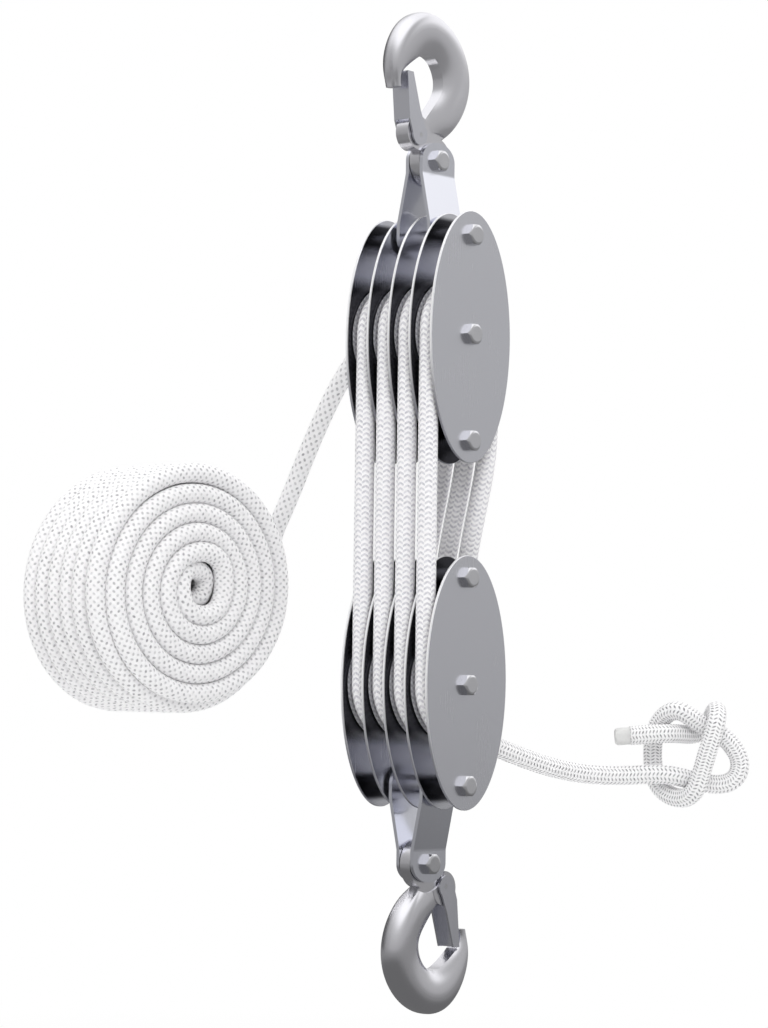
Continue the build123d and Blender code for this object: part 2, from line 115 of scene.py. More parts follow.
def across(way):
    """Two directions square to a line's way at each point, turned as little as can be.

    The first is the way crossed with the one fixed direction that stays furthest from it,
    out of many spread evenly over a ball. The turn that this puts in from point to point
    is summed and taken out again.
    """
    k = np.arange(FIXED_TRIES)
    z = 1 - (2 * k + 1) / FIXED_TRIES
    swing = k * GOLDEN_ANGLE
    tries = np.c_[np.sqrt(1 - z * z) * np.cos(swing), np.sqrt(1 - z * z) * np.sin(swing), z]
    fixed = tries[np.argmin(np.abs(tries @ way.T).max(axis=1))]
    side = unit(np.cross(way, fixed))
    top = np.cross(way, side)
    slip = np.arctan2((side[1:] * top[:-1]).sum(1), (side[1:] * side[:-1]).sum(1))
    turned = -np.concatenate([[0.0], np.cumsum(slip)])[:, None]
    return side * np.cos(turned) + top * np.sin(turned), top * np.cos(turned) - side * np.sin(turned)


def rope_tube(name, line, cell, columns, sides, width=ROPE_D):
    """Round rope: each ring is a point of the line plus half the rope's width times
    cos(a) of one square direction and sin(a) of the other, closed with a fan at each end.

    The map counts braid columns round the rope and braid cells along it. The cells' length
    is one number or one for each step of the line, and the width one number or one for each point.
    """
    way = unit(np.gradient(line, axis=0))
    side, top = across(way)
    count = len(line)
    a = 2 * np.pi * np.arange(sides) / sides
    ring = np.cos(a)[None, :, None] * side[:, None] + np.sin(a)[None, :, None] * top[:, None]
    half = np.broadcast_to(width, count) * (MM / 2)
    points = line[:, None] + ring * half[:, None, None]
    points = np.concatenate([points.reshape(-1, 3), line[:1], line[-1:]])
    i, j = np.meshgrid(np.arange(count - 1), np.arange(sides), indexing="ij")
    i, j = i.ravel(), j.ravel()
    nxt = (j + 1) % sides
    quads = np.c_[i * sides + j, i * sides + nxt, (i + 1) * sides + nxt, (i + 1) * sides + j]
    j0, last = np.arange(sides), (count - 1) * sides
    j1 = (j0 + 1) % sides
    first_fan = np.c_[j1, j0, np.full(sides, count * sides)]
    last_fan = np.c_[last + j0, last + j1, np.full(sides, count * sides + 1)]
    steps = np.linalg.norm(np.diff(line, axis=0), axis=1)
    along = np.concatenate([[0.0], np.cumsum(steps / (cell * MM))])
    u0, u1 = j * columns / sides, (j + 1) * columns / sides
    v0, v1 = along[i], along[i + 1]
    chart = np.stack([np.c_[u0, v0], np.c_[u1, v0], np.c_[u1, v1], np.c_[u0, v1]], 1)
    ends = np.full((2 * sides, 3, 2), 0.5)
    cells = np.concatenate([chart.reshape(-1, 2), ends.reshape(-1, 2)])
    return filled(name, points, quads, np.concatenate([first_fan, last_fan]), cells)


def smooth_line(name, points, fineness):
    """Points of the smooth line that the route's points control."""
    data = bpy.data.curves.new(name + "_line", "CURVE")
    data.dimensions = "3D"
    data.resolution_u = fineness
    spline = data.splines.new("NURBS")
    spline.points.add(len(points) - 1)
    spline.points.foreach_set("co", np.c_[points, np.ones(len(points))].ravel())
    spline.order_u = 3
    spline.use_endpoint_u = True
    holder = bpy.data.objects.new(name + "_line", data)
    mesh = bpy.data.meshes.new_from_object(holder)
    line = np.empty(len(mesh.vertices) * 3)
    mesh.vertices.foreach_get("co", line)
    bpy.data.objects.remove(holder)
    bpy.data.meshes.remove(mesh)
    return line.reshape(-1, 3)


def eased(t):
    """Share that starts and stops gently, 3t^2 - 2t^3."""
    return t * t * (3 - 2 * t)


# Reeved rope
REEVED_STEP = 1.2
CROSS_MARGIN = 46.0
RADIAN = 57.3


def on_sheave(x, axle, degrees):
    """Rope's centre line on a sheave: the axle plus the turn's radius at an angle from +Y to +Z."""
    a = np.radians(np.asarray(degrees, float))
    return np.stack([np.full_like(a, x), TURN_R * np.cos(a), axle + TURN_R * np.sin(a)], -1)


def sheave_run(x, axle, start, end):
    """Evenly spaced points of the rope on a sheave between two angles in degrees."""
    count = int((end - start) * TURN_R / RADIAN / REEVED_STEP)
    return on_sheave(x, axle, np.linspace(start, end, count))


def reeved_line():
    """Centre line from the lead's sheave to the tail's, over and under all eight sheaves.

    Front falls are straight. A back fall moves one sheave over on an eased S.
    """
    drop = np.linspace(0, 1, int(AXLE_DROP / REEVED_STEP))[1:-1]
    last = len(SHEAVE_X) - 1
    runs = []
    for k, x in enumerate(SHEAVE_X):
        runs.append(sheave_run(x, 0.0, LEAVE_UP if k == 0 else 0.0, 180))
        runs.append(np.c_[np.full_like(drop, x), np.full_like(drop, -TURN_R), -AXLE_DROP * drop])
        runs.append(sheave_run(x, -AXLE_DROP, 180, 360.0 if k < last else LEAVE_LOW))
        if k < last:
            t = np.clip((drop * AXLE_DROP - CROSS_MARGIN) / (AXLE_DROP - 2 * CROSS_MARGIN), 0, 1)
            shift = x + PITCH * eased(t)
            runs.append(np.c_[shift, np.full_like(drop, TURN_R), AXLE_DROP * (drop - 1)])
    return placed(np.concatenate(runs))


# Lead and coil: A is the coil's axis, H its sideways direction, O the middle of its front
COIL_TURN = np.radians(7.0)
COIL_A = np.array([np.cos(COIL_TURN), -np.sin(COIL_TURN), 0.0])
COIL_H = np.array([np.sin(COIL_TURN), np.cos(COIL_TURN), 0.0])
COIL_O = np.array([-152.0, -13.2, -125.0])
COIL_P = 10.9
COIL_RING = 10.5
COIL_CONE = 1.3
COIL_TOP, COIL_FOOT = 60.5, 63.9
COIL_MID, COIL_R = (COIL_TOP - COIL_FOOT) / 2, (COIL_TOP + COIL_FOOT) / 2
COIL_BACK = 6 * COIL_P
HALF_POINTS = 6
RUNS_INSIDE = np.cos(np.radians(15))

# Distances of the coil's spirals from its outline
FRONT_STEP = 2.4
FRONT_TOP, FRONT_TOPS, FRONT_FEET = 0.4, 1.2, 5.4
REAR_TOPS, REAR_FEET, REAR_START = 6.0, 11.5, 4.0

# Layers inside the barrel
LAYERS, TURNS, TURN_POINTS = 5, 3, 12
LAYER_OUT, LAYER_IN = 50, 20
SHIFT_FROM, SHIFT_SHARE = 0.9, 0.1
ENTRY_R = [61.5, 57.0, 52.0]
ENTRY_TURN = [75, 45, 15]
LAYER_TURN, POINT_TURN = -18.0, 30

# Middle of the coil: the front curl, the way back through the hole and the rear start
HOLE = np.array([
    (7.0, 17.8, 5.2), (15.6, 11.6, 5.2), (17.4, -1.6, 5.2), (13.4, -13.4, 5.2),
    (3.4, -17.6, 5.2), (-8.2, -15.2, 5.2), (-12.6, -7.0, 5.0), (-12.2, 1.4, 4.0),
    (-8.4, 7.4, 2.4), (0.6, 8.4, 0.6), (8.0, 5.0, -1.0), (8.8, -2.4, -2.8),
    (6.0, -7.8, -3.8), (0.6, -9.4, -5.2), (-4.4, -6.0, -8.0), (-3.6, 1.6, -15.0),
    (-3.0, 1.0, -32.0), (-5.0, 0.0, -44.0), (-7.6, -1.2, -54.0), (-6.4, 0.6, -62.4),
    (0.2, 4.4, -65.2),
])

LEAD = [
    (-21.0, 34.4, 12.7), (-38.0, 54.0, 11.0), (-66.0, 58.0, 13.0), (-90.0, 54.0, 8.0),
    (-108.5, 52.0, -14.0), (-127.5, 52.0, -45.0), (-144.5, 53.0, -76.0),
]
LEAD_RISE = 18.0


def at(h, z, a):
    """Points of the coil from their sideways, upright and axial distances."""
    h, z, a = np.broadcast_arrays(h, z, a)
    return COIL_O + h[..., None] * COIL_H + z[..., None] * UP + a[..., None] * COIL_A


def half_turns(side, heights, layers):
    """Control points of half turns of rope between heights on the coil's upright.

    Each half turn is six points on a half circle round the middle of its two heights,
    widened by 1 / cos(15 degrees) because the smooth line runs inside its points.
    """
    z0, z1 = np.array(heights[:-1], float)[:, None], np.array(heights[1:], float)[:, None]
    a0, a1 = np.array(layers[:-1], float)[:, None], np.array(layers[1:], float)[:, None]
    t = (np.arange(HALF_POINTS)[None] + 0.5) / HALF_POINTS
    wide = np.abs(z1 - z0) / 2 / RUNS_INSIDE
    sides = side * (-1.0) ** np.arange(len(z0))[:, None]
    rise = np.sign(z1 - z0)
    h = sides * wide * np.sin(np.pi * t)
    z = (z0 + z1) / 2 - rise * wide * np.cos(np.pi * t)
    return at(h, z, a0 + (a1 - a0) * eased(t)).reshape(-1, 3)


def zigzag(tops, feet):
    """Heights that go top, foot, top, foot and so on."""
    out = [tops[0]]
    for k in range(len(feet)):
        out += [feet[k]] + ([tops[k + 1]] if k + 1 < len(tops) else [])
    return out


def inner_turns():
    """Control points of the five layers inside the barrel, three turns in and three turns out.

    Twelve points make a turn. The distance from the axis goes from 50 to 20 mm over one
    layer and back over the next, and the last tenth of a layer moves one pitch back.
    """
    points = TURNS * TURN_POINTS
    step = np.arange(LAYERS * points)
    layer, share = step // points, step % points / points
    depth = LAYER_OUT - LAYER_IN
    r = np.where(layer % 2, LAYER_IN + depth * share, LAYER_OUT - depth * share)
    a = -COIL_P * (1 + layer + np.clip((share - SHIFT_FROM) / SHIFT_SHARE, 0, 1))
    r = np.concatenate([ENTRY_R, r]) / RUNS_INSIDE
    a = np.concatenate([np.full(len(ENTRY_R), -COIL_P), a])
    turn = np.radians(np.concatenate([ENTRY_TURN, LAYER_TURN - POINT_TURN * step]))
    return at(r * np.cos(turn), COIL_MID + r * np.sin(turn), a)


def coil_points():
    """Control points of the wound coil: the front spiral in, back through the hole, the rear
    spiral out, the barrel forward, then the layers inside it."""
    p, back = COIL_P, -COIL_BACK
    parts = [half_turns(1, [COIL_TOP, -COIL_FOOT], [-p, FRONT_STEP - p])[HALF_POINTS // 2:]]
    tops = [COIL_TOP - FRONT_TOP] + [COIL_TOP - FRONT_TOPS - i * COIL_RING for i in range(1, 5)]
    feet = [-(COIL_FOOT - FRONT_FEET) + i * COIL_RING for i in range(4)]
    heights = zigzag(tops, feet)
    parts.append(half_turns(-1, [-COIL_FOOT, tops[0]], [FRONT_STEP - p, 0]))
    parts.append(half_turns(1, heights, [0.5 * COIL_CONE * k for k in range(len(heights))]))
    parts.append(at(*HOLE.T))
    tops = [COIL_TOP - REAR_TOPS - (3 - i) * COIL_RING for i in range(4)]
    feet = [-(COIL_FOOT - REAR_FEET) + (3 - i) * COIL_RING for i in range(4)] + [-COIL_FOOT]
    heights = zigzag(feet, tops)
    parts.append(half_turns(1, [REAR_START, feet[0]], [back, back])[1:])
    parts.append(half_turns(-1, heights, [back] * len(heights)))
    barrel = [-COIL_FOOT] + [COIL_TOP, -COIL_FOOT] * 4 + [COIL_TOP]
    layers = [back + (k // 2 + k % 2) * p for k in range(len(barrel))]
    parts.append(half_turns(-1, barrel, layers))
    parts.append(inner_turns())
    return np.concatenate(parts)


def lead_points():
    """Control points of the lead, from the first sheave to the coil's second layer."""
    end = at(COIL_R, COIL_MID + ROPE_D, -COIL_P)
    first = on_sheave(SHEAVE_X[0], 0.0, LEAVE_UP)
    return np.concatenate([[first], LEAD, [end + [0, 0, LEAD_RISE]], [end]])


# Tail and knot: the knot's points are distances along the picture, up and towards the viewer
TAIL = [
    (21.0, 51.0, -213.2), (21.0, 77.0, -219.0), (21.6, 98.0, -222.3), (25.5, 115.0, -223.8),
    (33.0, 129.6, -223.9),
]
TAIL_STRAIGHT = 28.0
KNOT_O = np.array([21.0, 121.7, -224.2])
KNOT_TURN = np.radians(41.1)
KNOT = np.array([
    (29.2, 1.4, 2.3), (38.9, 0.7, 2.3), (48.1, -1.5, -0.6), (57.3, -3.6, -2.0),
    (64.7, -4.0, -1.5), (70.7, -2.0, -0.5), (74.2, 2.9, 0.0), (74.5, 9.5, 0.0),
    (71.0, 16.0, 0.0), (65.9, 21.5, 0.0), (59.6, 24.9, 0.3), (52.7, 28.4, 1.0),
    (46.4, 32.8, 1.7), (42.1, 35.1, 1.0), (37.8, 34.8, -1.5), (34.1, 32.0, -5.0),
    (30.9, 26.9, -8.0), (29.1, 20.3, -8.8), (28.6, 13.2, -9.0), (28.9, 6.6, -9.0),
    (29.5, -0.3, -9.0), (33.2, -7.2, -7.0), (39.5, -11.3, -1.5), (46.4, -11.3, 5.0),
    (50.7, -5.7, 9.7), (53.0, 2.9, 10.7), (55.8, 13.2, 11.2), (58.7, 22.3, 11.6),
    (60.8, 30.4, 10.6), (61.6, 35.4, 4.5), (61.4, 35.5, -4.5), (60.1, 30.6, -10.8),
    (57.6, 25.8, -12.2), (53.3, 22.9, -11.0), (47.0, 22.3, -7.4), (40.1, 22.9, -1.0),
    (33.8, 22.9, 3.3), (26.9, 22.5, 4.5), (21.0, 22.0, 4.6), (15.5, 21.5, 4.3),
])


def tail_points():
    """Control points of the tail, from the last sheave through its loose knot to the end."""
    first = on_sheave(SHEAVE_X[-1], -AXLE_DROP, LEAVE_LOW)
    a = np.radians(LEAVE_LOW)
    second = first + np.array([0, -np.sin(a), np.cos(a)]) * TAIL_STRAIGHT
    u = np.array([np.cos(KNOT_TURN), np.sin(KNOT_TURN), 0])
    w = np.array([np.sin(KNOT_TURN), -np.cos(KNOT_TURN), 0])
    knot = KNOT_O + KNOT[:, :1] * u + KNOT[:, 1:2] * UP + KNOT[:, 2:] * w
    return np.concatenate([[first, second], TAIL, knot])


# Rope pieces: the braid's cells are shorter and the rope fuller where it is slack
TAUT_CELL = 2.67
LEAD_CELL, COIL_SHORTER, COIL_FULLER = 5.0, 1.0, 0.9
LEAD_COUNT, LEAD_SHARE = 60, 0.5
KNOT_CELL, TAIL_LONGER = 1.7, 0.9
TAIL_FADE, TAIL_FADE_RATE = 1.6, 8

reeved = rope_tube("reeved_rope", reeved_line(), TAUT_CELL, columns=16, sides=24)
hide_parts("upper_rope_turns", "lower_rope_turns", "front_rope_strands", "back_rope_strands")
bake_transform(reeved)

wound_line = smooth_line("wound_rope", placed(np.concatenate([lead_points(), coil_points()])), fineness=6)
fuller = np.clip(np.arange(len(wound_line)) / LEAD_COUNT - LEAD_SHARE, 0, 1)
wound = rope_tube(
    "wound_rope", wound_line, LEAD_CELL - COIL_SHORTER * fuller[1:], columns=16, sides=20,
    width=ROPE_D + COIL_FULLER * fuller,
)
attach(wound, "upper_block")
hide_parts("lead_rope", "rope_coil", "rope_coil_core")

tail_line = smooth_line("tail", placed(tail_points()), fineness=12)
tail_share = np.linspace(0, 1, len(tail_line) - 1)
tail_cell = KNOT_CELL + TAIL_LONGER * np.clip(TAIL_FADE - TAIL_FADE_RATE * tail_share, 0, 1)
tail = rope_tube("tail", tail_line, tail_cell, columns=12, sides=24)
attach(tail, "lower_block")
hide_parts("tail_rope")


# Shader helpers
WHITE = (1, 1, 1, 1)


def put(tree, kind, values=(), **settings):
    """New shader node with its inputs set to numbers or linked to sockets; gives its outputs."""
    made = tree.nodes.new("ShaderNode" + kind)
    for key, value in settings.items():
        setattr(made, key, value)
    for key, value in dict(values).items():
        if isinstance(value, bpy.types.NodeSocket):
            tree.links.new(value, made.inputs[key])
        else:
            made.inputs[key].default_value = value
    return made.outputs


def sums(tree, operation, a, b=0.5, c=0.5):
    """One step of arithmetic on values or sockets."""
    return put(tree, "Math", {0: a, 1: b, 2: c}, operation=operation)[0]


def ramp(tree, value, low, high, to_low=0.0, to_high=1.0):
    """Smooth step of a value from one range to another."""
    limits = {0: value, 1: low, 2: high, 3: to_low, 4: to_high}
    return put(tree, "MapRange", limits, interpolation_type="SMOOTHSTEP")[0]


def blend(tree, share, a, b):
    """Value or colour between two, each a plain one or a socket."""
    if isinstance(b, float):
        return put(tree, "Mix", {0: share, 2: a, 3: b}, data_type="FLOAT")[0]
    a, b = (c if isinstance(c, bpy.types.NodeSocket) else (*c, 1) for c in (a, b))
    return put(tree, "Mix", {0: share, 6: a, 7: b}, data_type="RGBA")[2]


def effect(name, inputs, outputs):
    """Empty node group with named sockets; gives the tree, its inputs and its outputs."""
    tree = bpy.data.node_groups.new(name, "ShaderNodeTree")
    for label, kind in inputs:
        tree.interface.new_socket(label, in_out="INPUT", socket_type="NodeSocket" + kind)
    for label in outputs:
        tree.interface.new_socket(label, in_out="OUTPUT", socket_type="NodeSocketFloat")
    return tree, tree.nodes.new("NodeGroupInput").outputs, tree.nodes.new("NodeGroupOutput").inputs


def finish_named(name, **plain):
    """New material with plain values on its shader; gives the material, its tree and its shader."""
    made = bpy.data.materials.new(name)
    made.use_nodes = True
    shader = made.node_tree.nodes["Principled BSDF"]
    for key, value in plain.items():
        shader.inputs[key.replace("_", " ")].default_value = value
    return made, made.node_tree, shader


# Shared effects
def braid_effect():
    """Marks of a round braid from column and cell counts.

    Each cell has one dark mark, painted shade in the gap between the floats, a soft ellipse of
    half sizes Reach and Thick. Marks lean to one side in a column and to the other in the next.
    Stagger moves columns along, Fold of them together and then as many not. Vary takes up to
    that share off a mark, by chance.
    Height is the crown of the white floats round the marks.
    """
    shape = [(label, "Float") for label in ("Fold", "Stagger", "Reach", "Thick", "Lean", "Vary")]
    tree, given, out = effect("Braid", [("Cells", "Vector")] + shape, ["Mark", "Height"])
    around, ahead, _ = put(tree, "SeparateXYZ", {0: given["Cells"]})
    place = sums(tree, "SUBTRACT", sums(tree, "FRACT", around), 0.5)
    column = sums(tree, "FLOOR", around)
    odd = sums(tree, "MODULO", column, 2.0)
    group = sums(tree, "FLOOR", sums(tree, "DIVIDE", sums(tree, "ADD", column, 1.0), given["Fold"]))
    moved = sums(tree, "MODULO", group, 2.0)
    lean = sums(tree, "MULTIPLY", sums(tree, "MULTIPLY_ADD", odd, 2.0, -1.0), given["Lean"])
    along = sums(tree, "MULTIPLY_ADD", moved, given["Stagger"], ahead)
    along = sums(tree, "MULTIPLY_ADD", place, lean, along)
    cell = sums(tree, "SUBTRACT", sums(tree, "FRACT", along), 0.5)
    wide = sums(tree, "POWER", sums(tree, "ABSOLUTE", sums(tree, "DIVIDE", place, given["Reach"])), 2.0)
    long = sums(tree, "POWER", sums(tree, "ABSOLUTE", sums(tree, "DIVIDE", cell, given["Thick"])), 2.0)
    reach = sums(tree, "ADD", wide, long)
    number = put(tree, "CombineXYZ", {0: column, 1: sums(tree, "FLOOR", along)})[0]
    chance = put(tree, "TexWhiteNoise", {"Vector": number}, noise_dimensions="2D")[0]
    weight = sums(tree, "SUBTRACT", 1.0, sums(tree, "MULTIPLY", chance, given["Vary"]))
    mark = sums(tree, "MULTIPLY", ramp(tree, reach, 0.05, 1.4, 1.0, 0.0), weight)
    tree.links.new(mark, out["Mark"])
    tree.links.new(ramp(tree, reach, 0.0, 4.0), out["Height"])
    return tree


def grain_effect():
    """Brushed streaks and soft patches: fine noise on stretched coordinates, and broad noise."""
    tree, given, out = effect("Grain", [("Streaks", "Vector"), ("Place", "Vector")], ["Streak", "Patch"])
    fine = {"Vector": given["Streaks"], "Scale": 1.0, "Detail": 4.0, "Roughness": 0.6}
    broad = {"Vector": given["Place"], "Scale": 30.0, "Detail": 3.0}
    tree.links.new(ramp(tree, put(tree, "TexNoise", fine)[0], 0.3, 0.7), out["Streak"])
    tree.links.new(ramp(tree, put(tree, "TexNoise", broad)[0], 0.3, 0.7), out["Patch"])
    return tree


BRAID = braid_effect()
GRAIN = grain_effect()


# Rope finishes
FIBRE_SCALE = 900.0
FLOAT_DARK, FLOAT_LIGHT = (0.90, 0.895, 0.905), (0.94, 0.935, 0.945)


def braided_rope(name, fold, stagger, reach, thick, lean, vary, dark):
    """White braid with a soft sheen, its marks sunk by the bump and painted to the dark colour as painted
    shade in the gaps between the floats.
    """
    made, tree, shader = finish_named(
        name, Roughness=0.85, Subsurface_Weight=0.5, Subsurface_Scale=0.003, Subsurface_Radius=(1, 1, 1),
    )
    shape = {"Fold": fold, "Stagger": stagger, "Reach": reach, "Thick": thick, "Lean": lean, "Vary": vary}
    cells = put(tree, "UVMap", uv_map="braid")[0]
    braid = put(tree, "Group", {"Cells": cells, **shape}, node_tree=BRAID)
    place = put(tree, "TexCoord")["Object"]
    fibre = put(tree, "TexNoise", {"Vector": place, "Scale": FIBRE_SCALE, "Detail": 3.0})[0]
    # painted shade: the marks in the braid's gaps take the dark colour
    share = sums(tree, "MULTIPLY", braid["Mark"], ramp(tree, fibre, 0.3, 0.7, 0.55, 1.0))
    ground = blend(tree, ramp(tree, fibre, 0.35, 0.65), FLOAT_DARK, FLOAT_LIGHT)
    tree.links.new(blend(tree, share, ground, dark), shader.inputs["Base Color"])
    bump = put(tree, "Bump", {"Strength": 0.5, "Distance": 0.0005, "Height": braid["Height"]})
    tree.links.new(bump[0], shader.inputs["Normal"])
    return made


def melted_end():
    """Melted rope end: milky, with faint clouding."""
    made, tree, shader = finish_named("melted end", IOR=1.5, Transmission_Weight=0.25)
    place = put(tree, "TexCoord")["Object"]
    noise = put(tree, "TexNoise", {"Vector": place, "Scale": 300.0, "Detail": 3.0})[0]
    cloud = ramp(tree, noise, 0.3, 0.7)
    milk = blend(tree, cloud, (0.80, 0.80, 0.79), (0.90, 0.90, 0.89))
    tree.links.new(milk, shader.inputs["Base Color"])
    tree.links.new(ramp(tree, cloud, 0.0, 1.0, 0.3, 0.45), shader.inputs["Roughness"])
    return made


# The dark colours of the three braids are painted shade in the gaps between the floats.
TAUT = braided_rope(
    "taut braid", fold=2.0, stagger=0.5, reach=0.95, thick=0.29, lean=0.4, vary=0.35,
    dark=(0.46, 0.45, 0.50),
)
SLACK = braided_rope(
    "slack braid", fold=1.0, stagger=0.5, reach=0.44, thick=0.2, lean=0.15, vary=0.55,
    dark=(0.28, 0.27, 0.29),
)
FINE = braided_rope(
    "fine braid", fold=1.0, stagger=0.0, reach=0.42, thick=0.22, lean=0.6, vary=0.2,
    dark=(0.03, 0.03, 0.04),
)
for piece, finish in ((reeved, TAUT), (wound, SLACK), (tail, FINE)):
    piece.data.materials.append(finish)


# Metal finishes: places on the blocks are distances from the tackle's middle, up and sideways
# Places of the plates' painted shade: near the rope, at the end bolts of the gaps that hold no strap, and
# not on the block's outside.
BY_ROPE = (0.111, 0.121)
BOLT_START, BOLT_END = (0.133, 0.137), (0.146, 0.149)
NO_STRAP = (0.0138, 0.0142)
OUTSIDE = (0.0282, 0.0287)
# The plates' rims are painted darker where they look down, a painted shade.
LOOKS_DOWN = (-0.35, 0.05)
LOW_EDGE_SHADE = (0.24, 0.24, 0.27)
EDGE_ROUGH, EDGE_METAL = 0.3, 0.3
ROUGH_VARIES = 0.04


def painted_plate_shade(tree, place):
    """Share of painted shade on a plate: near the rope, and at the end bolts of the gaps that hold no
    strap, but not on the block's outside."""
    x, _, z = put(tree, "SeparateXYZ", {0: place})
    x = sums(tree, "ABSOLUTE", x)
    off = sums(tree, "ABSOLUTE", sums(tree, "SUBTRACT", z, MIDDLE[2]))
    bolt = sums(tree, "MULTIPLY", ramp(tree, off, *BOLT_START), ramp(tree, off, *BOLT_END, 1.0, 0.0))
    bolt = sums(tree, "MULTIPLY", bolt, ramp(tree, x, *NO_STRAP))
    dark = sums(tree, "MAXIMUM", bolt, ramp(tree, off, *BY_ROPE, 1.0, 0.0))
    return sums(tree, "MULTIPLY", dark, ramp(tree, x, *OUTSIDE, 1.0, 0.0))


def steel(name, dark, light, stretch, rough, relief=0.08, edge_highlight=None, painted_shade=None):
    """Plated steel with brushed streaks and soft patches.

    The edge colour is a painted highlight on the cut edges, the faces that do not look along X:
    pale and less metallic there, and painted darker where they look down as painted shade. The
    inside colour is painted shade on a plate's dark places, its inner faces near the rope and the end
    bolts.
    """
    made, tree, shader = finish_named(name, Metallic=1.0)
    coords = put(tree, "TexCoord")
    streaks = put(tree, "Mapping", {"Vector": coords["Object"], "Scale": stretch})[0]
    grain = put(tree, "Group", {"Streaks": streaks, "Place": coords["Object"]}, node_tree=GRAIN)
    share = sums(tree, "MULTIPLY_ADD", grain["Patch"], 0.4, sums(tree, "MULTIPLY", grain["Streak"], 0.6))
    colour = blend(tree, share, dark, light)
    gloss = sums(tree, "MULTIPLY_ADD", share, ROUGH_VARIES, rough)
    # painted shade on the plates' inner faces, near the rope and at the end bolts
    if painted_shade is not None:
        colour = blend(tree, painted_plate_shade(tree, coords["Object"]), colour, painted_shade)
    # painted highlight on the plates' rims, the faces that do not look along X, with painted shade where
    # they look down
    if edge_highlight is not None:
        look, _, upward = put(tree, "SeparateXYZ", {0: coords["Normal"]})
        cut = ramp(tree, sums(tree, "ABSOLUTE", look), 0.55, 0.9, 1.0, 0.0)
        painted_rim = blend(tree, ramp(tree, upward, *LOOKS_DOWN), LOW_EDGE_SHADE, edge_highlight)
        colour = blend(tree, cut, colour, painted_rim)
        gloss = blend(tree, cut, gloss, EDGE_ROUGH)
        tree.links.new(blend(tree, cut, 1.0, EDGE_METAL), shader.inputs["Metallic"])
    tree.links.new(colour, shader.inputs["Base Color"])
    tree.links.new(gloss, shader.inputs["Roughness"])
    bump = put(tree, "Bump", {"Strength": relief, "Distance": 0.0001, "Height": grain["Streak"]})
    tree.links.new(bump[0], shader.inputs["Normal"])
    return made


# The plate's pale edge colour is a painted highlight and its near-black inside colour painted shade.
PLATE = steel(
    "plate", (0.80, 0.805, 0.86), (0.81, 0.815, 0.87), stretch=(400, 1500, 25), rough=0.24, relief=0.004,
    edge_highlight=(0.95, 0.95, 0.96), painted_shade=(0.06, 0.06, 0.07),
)
ZINC = steel(
    "bright zinc", (0.74, 0.74, 0.77), (0.80, 0.80, 0.83),
    stretch=(200, 200, 200), rough=0.1, relief=0.02,
)
STRAP = steel(
    "strap", (0.80, 0.81, 0.88), (0.82, 0.83, 0.90),
    stretch=(300, 300, 30), rough=0.18, relief=0.01,
)
LATCH = steel(
    "latch sheet", (0.76, 0.765, 0.825), (0.78, 0.785, 0.845),
    stretch=(300, 300, 60), rough=0.22, relief=0.01,
)
WHEEL = steel(
    "turned wheel", (0.88, 0.88, 0.90), (0.92, 0.92, 0.94),
    stretch=(900, 120, 120), rough=0.12, relief=0.02,
)
BUSH = steel("bearing brass", (0.55, 0.42, 0.20), (0.66, 0.52, 0.27), stretch=(600, 200, 200), rough=0.28)
FORGED = steel(
    "forging", (0.80, 0.795, 0.835), (0.815, 0.81, 0.85),
    stretch=(120, 120, 120), rough=0.21, relief=0.01,
)

FINISH = {
    "plate": PLATE, "strap": STRAP, "latch": LATCH, "hook": FORGED, "sheave": WHEEL, "bush": BUSH,
    "rope_tip": melted_end(),
}
for kind in ("bolts", "nuts", "spacers", "sleeves", "hook_bolt", "hook_nut", "latch_pin"):
    FINISH[kind] = ZINC
for name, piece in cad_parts.items():
    kind = name.split("_", 1)[1]
    finish = FINISH.get(kind) or FINISH.get(kind.rsplit("_", 1)[0])
    for held in piece.material_slots:
        held.material = finish or held.material


# Floor
FLOOR_Z = float(solid_box[0][2]) - 0.12
FLOOR_HALF = 8


def floor_finish():
    """Pale floor that keeps its shadow near the part, fades to white far out and is dim in the metal."""
    made, tree, shader = finish_named("pale floor", Roughness=0.9, Base_Color=(0.85, 0.85, 0.85, 1))
    place = put(tree, "TexCoord")["Object"]
    flat = put(tree, "VectorMath", {0: place, 1: (1, 1, 0)}, operation="MULTIPLY")[0]
    off = put(tree, "VectorMath", {0: flat}, operation="LENGTH")["Value"]
    path = put(tree, "LightPath")
    far = sums(tree, "MULTIPLY", path["Is Camera Ray"], ramp(tree, off, 0.5, 1.2))
    glow = put(tree, "Emission", {"Color": WHITE, "Strength": 1.0})[0]
    both = put(tree, "MixShader", {0: far, 1: shader.outputs[0], 2: glow})[0]
    level = sums(tree, "ADD", ramp(tree, off, 0.4, 0.9, 0.16, 0.27), ramp(tree, off, 2.0, 8.0, 0.0, 0.15))
    dim = put(tree, "Emission", {"Color": WHITE, "Strength": level})[0]
    both = put(tree, "MixShader", {0: path["Is Glossy Ray"], 1: both, 2: dim})[0]
    tree.links.new(both, tree.nodes["Material Output"].inputs["Surface"])
    return made


floor_corners = np.array([(-1, -1, 0), (1, -1, 0), (1, 1, 0), (-1, 1, 0)]) * FLOOR_HALF + FLOOR_Z * UP
floor = filled("floor", floor_corners, np.array([[0, 1, 2, 3]]), np.zeros((0, 3), int))
floor.data.materials.append(floor_finish())


# Sky and lamps
HIGH_LEVEL = 0.64


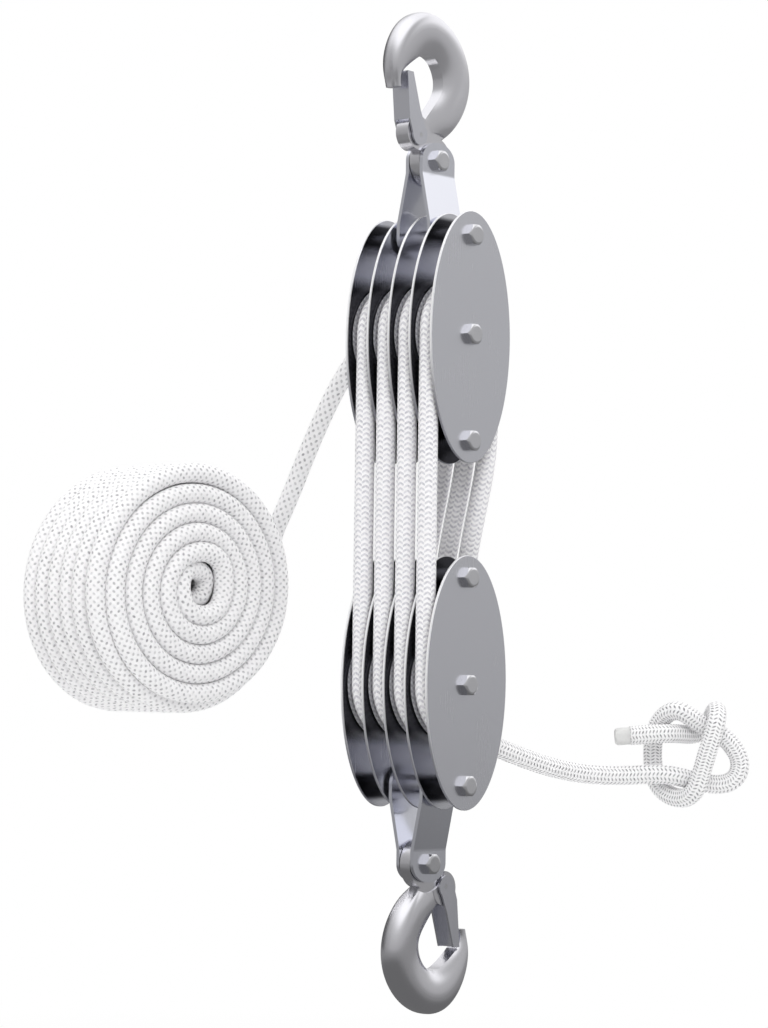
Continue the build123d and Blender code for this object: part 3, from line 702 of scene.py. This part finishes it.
def studio_world():
    """White for the camera, and a sky of soft fields for the part.

    The sky brightens from below the horizon to just above it, and a little more in front and
    high up. It is darker far to the left. The bright field covers the top of the sky and comes
    down behind the part.
    """
    world = bpy.data.worlds.new("studio")
    world.use_nodes = True
    tree = world.node_tree
    tree.nodes.clear()
    path = put(tree, "LightPath")
    side, behind, up = put(tree, "SeparateXYZ", {0: put(tree, "TexCoord")["Generated"]})
    front = ramp(tree, up, 0.14, 0.6, 0.0, 0.14)
    front = sums(tree, "MULTIPLY", front, ramp(tree, behind, 0.0, 0.35, 1.0, 0.0))
    low = sums(tree, "ADD", ramp(tree, up, -0.4, 0.14, 0.24, 0.48), front)
    low = sums(tree, "MULTIPLY", low, ramp(tree, side, -0.9, -0.55, 0.25, 1.0))
    high = sums(tree, "MULTIPLY", ramp(tree, up, 0.2, 0.42), ramp(tree, behind, 0.46, 0.74))
    high = sums(tree, "MAXIMUM", high, ramp(tree, up, 0.5, 0.8))
    level = sums(tree, "ADD", low, sums(tree, "MULTIPLY", high, HIGH_LEVEL))
    sky = put(tree, "Background", {"Color": WHITE, "Strength": level})[0]
    white = put(tree, "Background", {"Color": WHITE, "Strength": 1.0})[0]
    seen = sums(tree, "MAXIMUM", path["Is Camera Ray"], path["Is Transmission Ray"])
    out = tree.nodes.new("ShaderNodeOutputWorld")
    tree.links.new(put(tree, "MixShader", {0: seen, 1: sky, 2: white})[0], out.inputs["Surface"])
    bpy.context.scene.world = world


def lamp(name, spot, size, power):
    """Area lamp aimed at the tackle's middle, kept out of the metal's reflections."""
    data = bpy.data.lights.new(name, "AREA")
    data.shape = "RECTANGLE"
    data.size, data.size_y = size
    data.energy = power
    held = bpy.data.objects.new(name, data)
    held.visible_glossy = False
    held.location = spot
    held.rotation_euler = (Vector(MIDDLE) - Vector(spot)).to_track_quat("-Z", "Y").to_euler()
    bpy.context.scene.collection.objects.link(held)


studio_world()
lamp("key", (1.5, -1.4, 1.4), size=(1.6, 1.6), power=25)
lamp("fill", (-1.7, -1.1, 1.3), size=(1.6, 1.6), power=6)
lamp("back", (0.4, 1.9, 1.2), size=(1.8, 1.2), power=6)


# Camera at the photograph's place: angles in degrees, distances in mm, focal length in pixels
PHOTO_ROUND, PHOTO_UPWARD, PHOTO_ROLL = 41.11, 3.11, 0.81
PHOTO_FAR, PHOTO_SIDE, PHOTO_HEIGHT = 1563.14, -21.25, -175.44
PHOTO_FOCAL, PHOTO_TALL = 3070.59, 1028.0
SENSOR = 36.0


def photo_camera():
    """Camera round from the front, looking a little up and turned about its own axis."""
    a, pitch = np.radians(PHOTO_ROUND), np.radians(PHOTO_UPWARD)
    back = np.array([np.sin(a), -np.cos(a), 0.0])
    right = np.array([np.cos(a), np.sin(a), 0.0])
    spot = placed(back * PHOTO_FAR + right * PHOTO_SIDE + UP * PHOTO_HEIGHT)
    ahead = -back * np.cos(pitch) + UP * np.sin(pitch)
    data = bpy.data.cameras.new("photo")
    data.sensor_fit = "AUTO"
    data.sensor_width = SENSOR
    data.lens = PHOTO_FOCAL * SENSOR / PHOTO_TALL
    held = bpy.data.objects.new("photo", data)
    turn = Matrix(np.column_stack([right, np.cross(right, ahead), -ahead]).tolist())
    turn = turn @ Matrix.Rotation(np.radians(PHOTO_ROLL), 3, "Z")
    held.matrix_world = Matrix.Translation(spot.tolist()) @ turn.to_4x4()
    bpy.context.scene.collection.objects.link(held)
    bpy.context.scene.camera = held


photo_camera()
bpy.context.scene.view_settings.view_transform = "Standard"
